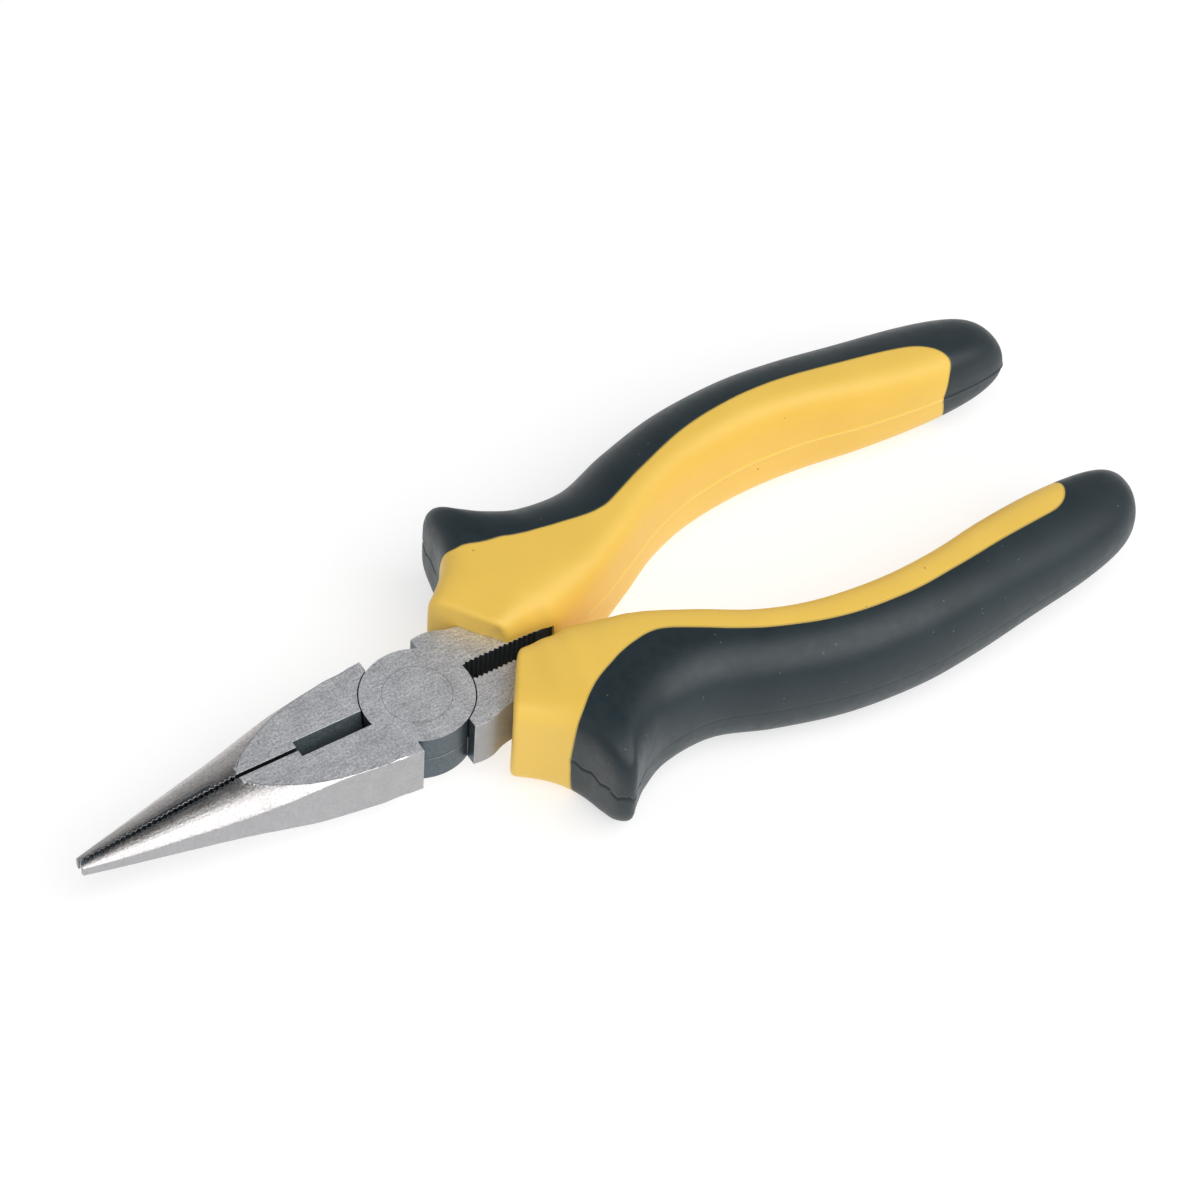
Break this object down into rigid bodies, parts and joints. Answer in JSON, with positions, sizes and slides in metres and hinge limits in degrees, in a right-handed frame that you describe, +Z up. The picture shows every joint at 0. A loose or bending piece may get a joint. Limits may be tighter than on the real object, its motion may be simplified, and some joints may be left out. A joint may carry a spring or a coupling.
{
  "type": "long-nose pliers",
  "caption": "Long-nose pliers with a lap joint, toothed tapering jaws, wire cutter, pipe grip and two-part soft-grip handles, opening on one pivot.",
  "frame": {"origin": "middle of the bottom of the bounding box, on the surface that the grips rest on", "axes": "+X along the tool from the jaws to the handles, +Y across the tool, +Z up along the pivot axis"},
  "size_m": [0.1648, 0.0582, 0.0186],
  "materials": {
    "forged_steel": "fine ground satin steel",
    "hard_grip": "satin moulded yellow plastic",
    "soft_grip": "matt dark slate-green soft rubber"
  },
  "bodies": {
    "lever_a_half": {"lever_a": "forged_steel", "grip_core_a": "hard_grip", "grip_overmould_a": "soft_grip", "pivot_rivet": "forged_steel"},
    "lever_b_half": {"lever_b": "forged_steel", "grip_core_b": "hard_grip", "grip_overmould_b": "soft_grip"}
  },
  "joints": [
    {"name": "pivot", "type": "hinge", "parent": "lever_a_half", "child": "lever_b_half", "pos_m": [-0.0296, 0, 0.00931], "axis": [0, 0, -1], "range_deg": [0, 45]}
  ]
}
